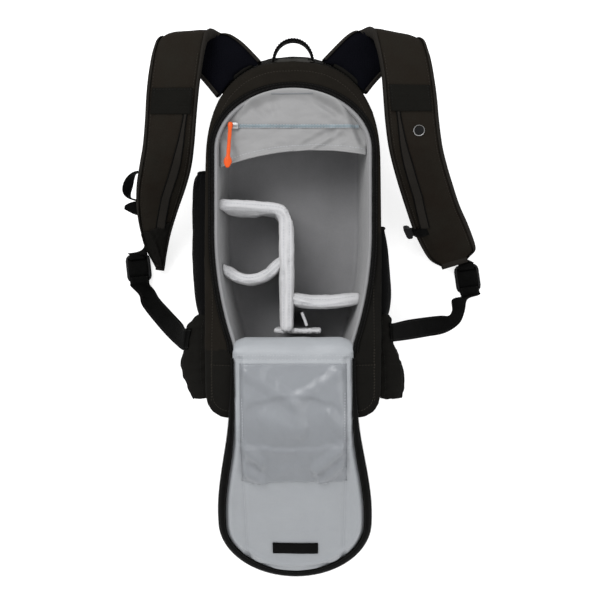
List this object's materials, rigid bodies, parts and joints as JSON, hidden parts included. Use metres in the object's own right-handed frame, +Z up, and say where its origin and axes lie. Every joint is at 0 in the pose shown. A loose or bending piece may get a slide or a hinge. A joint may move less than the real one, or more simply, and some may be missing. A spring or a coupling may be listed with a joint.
{
  "type": "camera backpack",
  "caption": "Padded camera backpack lying on its front, its arched back door unzipped and folded down to show padded dividers, with shoulder straps and a haul handle.",
  "frame": {"origin": "middle of the flat front face of the body, on the ground that it lies on", "axes": "+Y towards the haul handle, +Z up out of the back panel, +X to the right of someone who looks down on the back panel"},
  "size_m": [0.463, 0.6931, 0.163],
  "materials": {
    "body_cloth": "dark coated ripstop cloth",
    "frame_cloth": "dark brown-black padded cloth",
    "lining_cloth": "grey brushed lining",
    "divider_cloth": "light grey brushed padded cloth",
    "pocket_cloth": "grey woven cloth",
    "door_cloth": "blue-grey woven cloth with a little sheen",
    "pocket_film": "thin translucent grey cloth",
    "zip_tape": "black zip tape and coil",
    "pale_zip": "blue-grey covered coil zip",
    "label_patch": "blank black patch",
    "mesh_cloth": "black stretch mesh",
    "strap_cloth": "dark brown padded cloth, navy mesh beneath",
    "webbing": "black ribbed webbing",
    "black_plastic": "moulded, slightly glossy",
    "orange_plastic": "moulded orange",
    "metal": "bright cast metal"
  },
  "bodies": {
    "root": {"shell": "body_cloth", "back_frame": "frame_cloth", "lining": "lining_cloth", "rim_zipper": "zip_tape", "door_panel": "door_cloth", "door_edge": "zip_tape", "door_pocket": "pocket_film", "door_label": "label_patch", "divider_main": "divider_cloth", "divider_curved": "divider_cloth", "divider_right": "divider_cloth", "divider_strip": "divider_cloth", "divider_end_tab": "divider_cloth", "inner_pocket": "pocket_cloth", "inner_pocket_zipper": "pale_zip", "zip_slider": "metal", "zip_pull": "orange_plastic", "side_pocket_left": "mesh_cloth", "side_pocket_right": "mesh_cloth", "wing_left": "body_cloth", "wing_right": "body_cloth", "haul_handle": "webbing", "strap_left": "strap_cloth", "strap_patch_left": "frame_cloth", "strap_rail_left": "webbing", "strap_stub_left": "webbing", "ladder_lock_left": "black_plastic", "lower_webbing_left": "webbing", "sternum_loop": "webbing", "sternum_tail": "webbing", "strap_right": "strap_cloth", "strap_patch_right": "frame_cloth", "strap_rail_right": "webbing", "strap_stub_right": "webbing", "ladder_lock_right": "black_plastic", "lower_webbing_right": "webbing", "sternum_buckle": "black_plastic", "strap_badge": "metal"}
  },
  "joints": []
}
